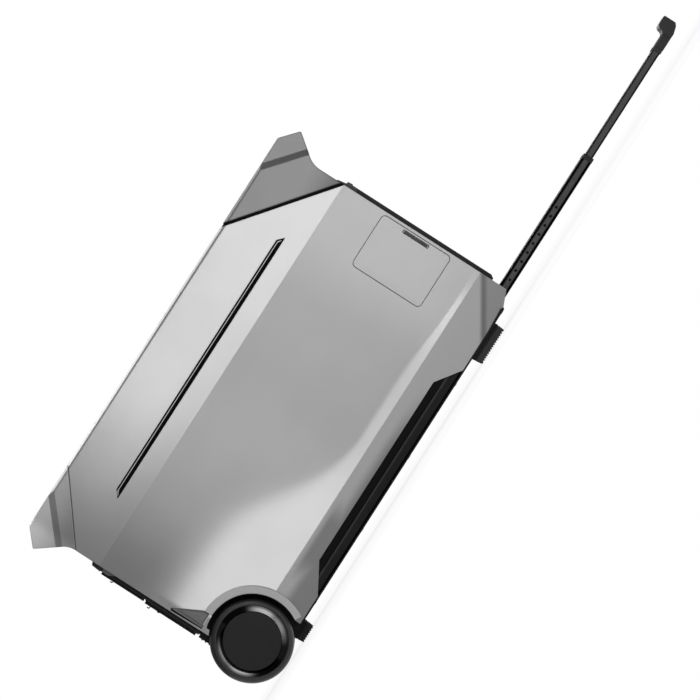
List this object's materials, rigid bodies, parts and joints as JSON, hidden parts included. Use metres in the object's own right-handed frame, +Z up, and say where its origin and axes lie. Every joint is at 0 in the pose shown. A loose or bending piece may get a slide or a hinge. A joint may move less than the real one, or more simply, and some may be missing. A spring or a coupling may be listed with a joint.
{
  "type": "power station",
  "caption": "Wheeled suitcase-sized power station with faceted side shells, hand grips at both ends, pull-out trolley handle and covered sockets.",
  "frame": {"origin": "on the floor, at the middle of the overall box with the trolley handle pulled out", "axes": "+X towards the front panel and trolley grip, +Y the device's left side, +Z up"},
  "size_m": [1.104, 0.341, 0.41],
  "materials": {
    "shell_silver": "satin",
    "horn_silver": "satin",
    "horn_grey": "satin",
    "gloss_black": "gloss",
    "trim_black": "satin",
    "vent_grey": "satin",
    "deck_grey": "matte",
    "mat_rubber": "matte",
    "frame_black": "matte",
    "foot_rubber": "matte",
    "axle_steel": "brushed",
    "tyre_rubber": "matte",
    "rim_black": "gloss",
    "cap_black": "satin",
    "rail_black": "anodised",
    "tube_black": "anodised",
    "grip_grey": "matte",
    "panel_black": "satin",
    "cap_grey": "satin",
    "display_glass": "gloss",
    "port_black": "matte",
    "key_grey": "satin",
    "cover_rubber": "matte",
    "case_steel": "matte",
    "cell_blue": "satin",
    "board_green": "satin",
    "sink_aluminium": "matte"
  },
  "bodies": {
    "housing": {"right_shell": "shell_silver", "left_shell": "shell_silver", "recess_inserts": "trim_black", "slot_inserts": "gloss_black", "vent_inserts": "vent_grey", "front_horn": "horn_grey", "rear_horn": "horn_silver", "seam_strip": "gloss_black", "top_deck": "deck_grey", "top_mat": "mat_rubber", "base_tray": "frame_black", "front_feet": "foot_rubber", "rear_feet": "foot_rubber", "axle": "axle_steel", "wheel_liners": "frame_black", "guide_rails": "rail_black", "front_panel": "panel_black", "front_cap": "cap_grey", "display_module": "frame_black", "display_lens": "display_glass", "dc_ports": "port_black", "rear_panel": "panel_black", "rear_cap": "cap_grey", "cover_pins": "axle_steel", "ac_outlets": "port_black", "inlet_block": "port_black", "door_pin": "axle_steel", "port_bay": "frame_black", "bay_ports": "port_black", "battery_case": "case_steel", "battery_cells": "cell_blue", "inverter_board": "board_green", "heat_sink": "sink_aluminium", "fan_frame": "frame_black"},
    "right_wheel": {"right_tyre": "tyre_rubber", "right_rim": "rim_black", "right_hub_cap": "cap_black"},
    "left_wheel": {"left_tyre": "tyre_rubber", "left_rim": "rim_black", "left_hub_cap": "cap_black"},
    "handle_outer_stage": {"right_outer_tube": "tube_black", "left_outer_tube": "tube_black", "handle_brace": "rail_black"},
    "handle_inner_stage": {"right_inner_tube": "tube_black", "left_inner_tube": "tube_black", "grip_collars": "grip_grey", "grip": "grip_grey"},
    "handle_release": {"release_button": "gloss_black"},
    "side_door": {"port_door": "shell_silver"},
    "upper_socket_cover": {"upper_cover": "cover_rubber"},
    "lower_socket_cover": {"lower_cover": "cover_rubber"},
    "inlet_socket_cover": {"inlet_cover": "cover_rubber"},
    "power_push_key": {"power_key": "key_grey"},
    "usb_push_key": {"usb_key": "key_grey"},
    "dc_push_key": {"dc_key": "key_grey"},
    "ac_push_key": {"ac_key": "key_grey"},
    "reset_push_key_1": {"reset_key_1": "key_grey"},
    "reset_push_key_2": {"reset_key_2": "key_grey"},
    "reset_push_key_3": {"reset_key_3": "key_grey"},
    "cooling_fan": {"fan_rotor": "frame_black"}
  },
  "joints": [
    {"name": "right_wheel_spin", "type": "hinge", "parent": "housing", "child": "right_wheel", "pos_m": [-0.493, 0, 0.0615], "axis": [0, 1, 0], "continuous": true},
    {"name": "left_wheel_spin", "type": "hinge", "parent": "housing", "child": "left_wheel", "pos_m": [-0.493, 0, 0.0615], "axis": [0, 1, 0], "continuous": true},
    {"name": "handle_outer_slide", "type": "slide", "parent": "housing", "child": "handle_outer_stage", "axis": [1, 0, 0], "range_m": [-0.2125, 0]},
    {"name": "handle_inner_slide", "type": "slide", "parent": "handle_outer_stage", "child": "handle_inner_stage", "axis": [1, 0, 0], "range_m": [-0.172, 0]},
    {"name": "handle_release_press", "type": "slide", "parent": "handle_inner_stage", "child": "handle_release", "axis": [-1, 0, 0], "range_m": [0, 0.002], "stiffness_N_per_m": 400, "springref_m": -0.0005},
    {"name": "side_door_hinge", "type": "hinge", "parent": "housing", "child": "side_door", "pos_m": [0.0278, -0.1635, 0.1723], "axis": [0, 0, -1], "range_deg": [0, 90]},
    {"name": "upper_cover_hinge", "type": "hinge", "parent": "housing", "child": "upper_socket_cover", "pos_m": [-0.5268, 0, 0.2206], "axis": [0, -1, 0], "range_deg": [0, 100]},
    {"name": "lower_cover_hinge", "type": "hinge", "parent": "housing", "child": "lower_socket_cover", "pos_m": [-0.5282, -0.056, 0.1346], "axis": [0, -1, 0], "range_deg": [0, 100]},
    {"name": "inlet_cover_hinge", "type": "hinge", "parent": "housing", "child": "inlet_socket_cover", "pos_m": [-0.5282, 0.082, 0.1346], "axis": [0, -1, 0], "range_deg": [0, 100]},
    {"name": "power_key_press", "type": "slide", "parent": "housing", "child": "power_push_key", "axis": [-1, 0, 0], "range_m": [0, 0.0012], "stiffness_N_per_m": 400, "springref_m": -0.0005},
    {"name": "usb_key_press", "type": "slide", "parent": "housing", "child": "usb_push_key", "axis": [-1, 0, 0], "range_m": [0, 0.0012], "stiffness_N_per_m": 400, "springref_m": -0.0005},
    {"name": "dc_key_press", "type": "slide", "parent": "housing", "child": "dc_push_key", "axis": [-1, 0, 0], "range_m": [0, 0.0012], "stiffness_N_per_m": 400, "springref_m": -0.0005},
    {"name": "ac_key_press", "type": "slide", "parent": "housing", "child": "ac_push_key", "axis": [1, 0, 0], "range_m": [0, 0.0012], "stiffness_N_per_m": 400, "springref_m": -0.0005},
    {"name": "reset_key_1_press", "type": "slide", "parent": "housing", "child": "reset_push_key_1", "axis": [1, 0, 0], "range_m": [0, 0.0012], "stiffness_N_per_m": 400, "springref_m": -0.0005},
    {"name": "reset_key_2_press", "type": "slide", "parent": "housing", "child": "reset_push_key_2", "axis": [1, 0, 0], "range_m": [0, 0.0012], "stiffness_N_per_m": 400, "springref_m": -0.0005},
    {"name": "reset_key_3_press", "type": "slide", "parent": "housing", "child": "reset_push_key_3", "axis": [1, 0, 0], "range_m": [0, 0.0012], "stiffness_N_per_m": 400, "springref_m": -0.0005},
    {"name": "fan_spin", "type": "hinge", "parent": "housing", "child": "cooling_fan", "pos_m": [-0.2095, 0, 0.262], "axis": [1, 0, 0], "continuous": true}
  ]
}
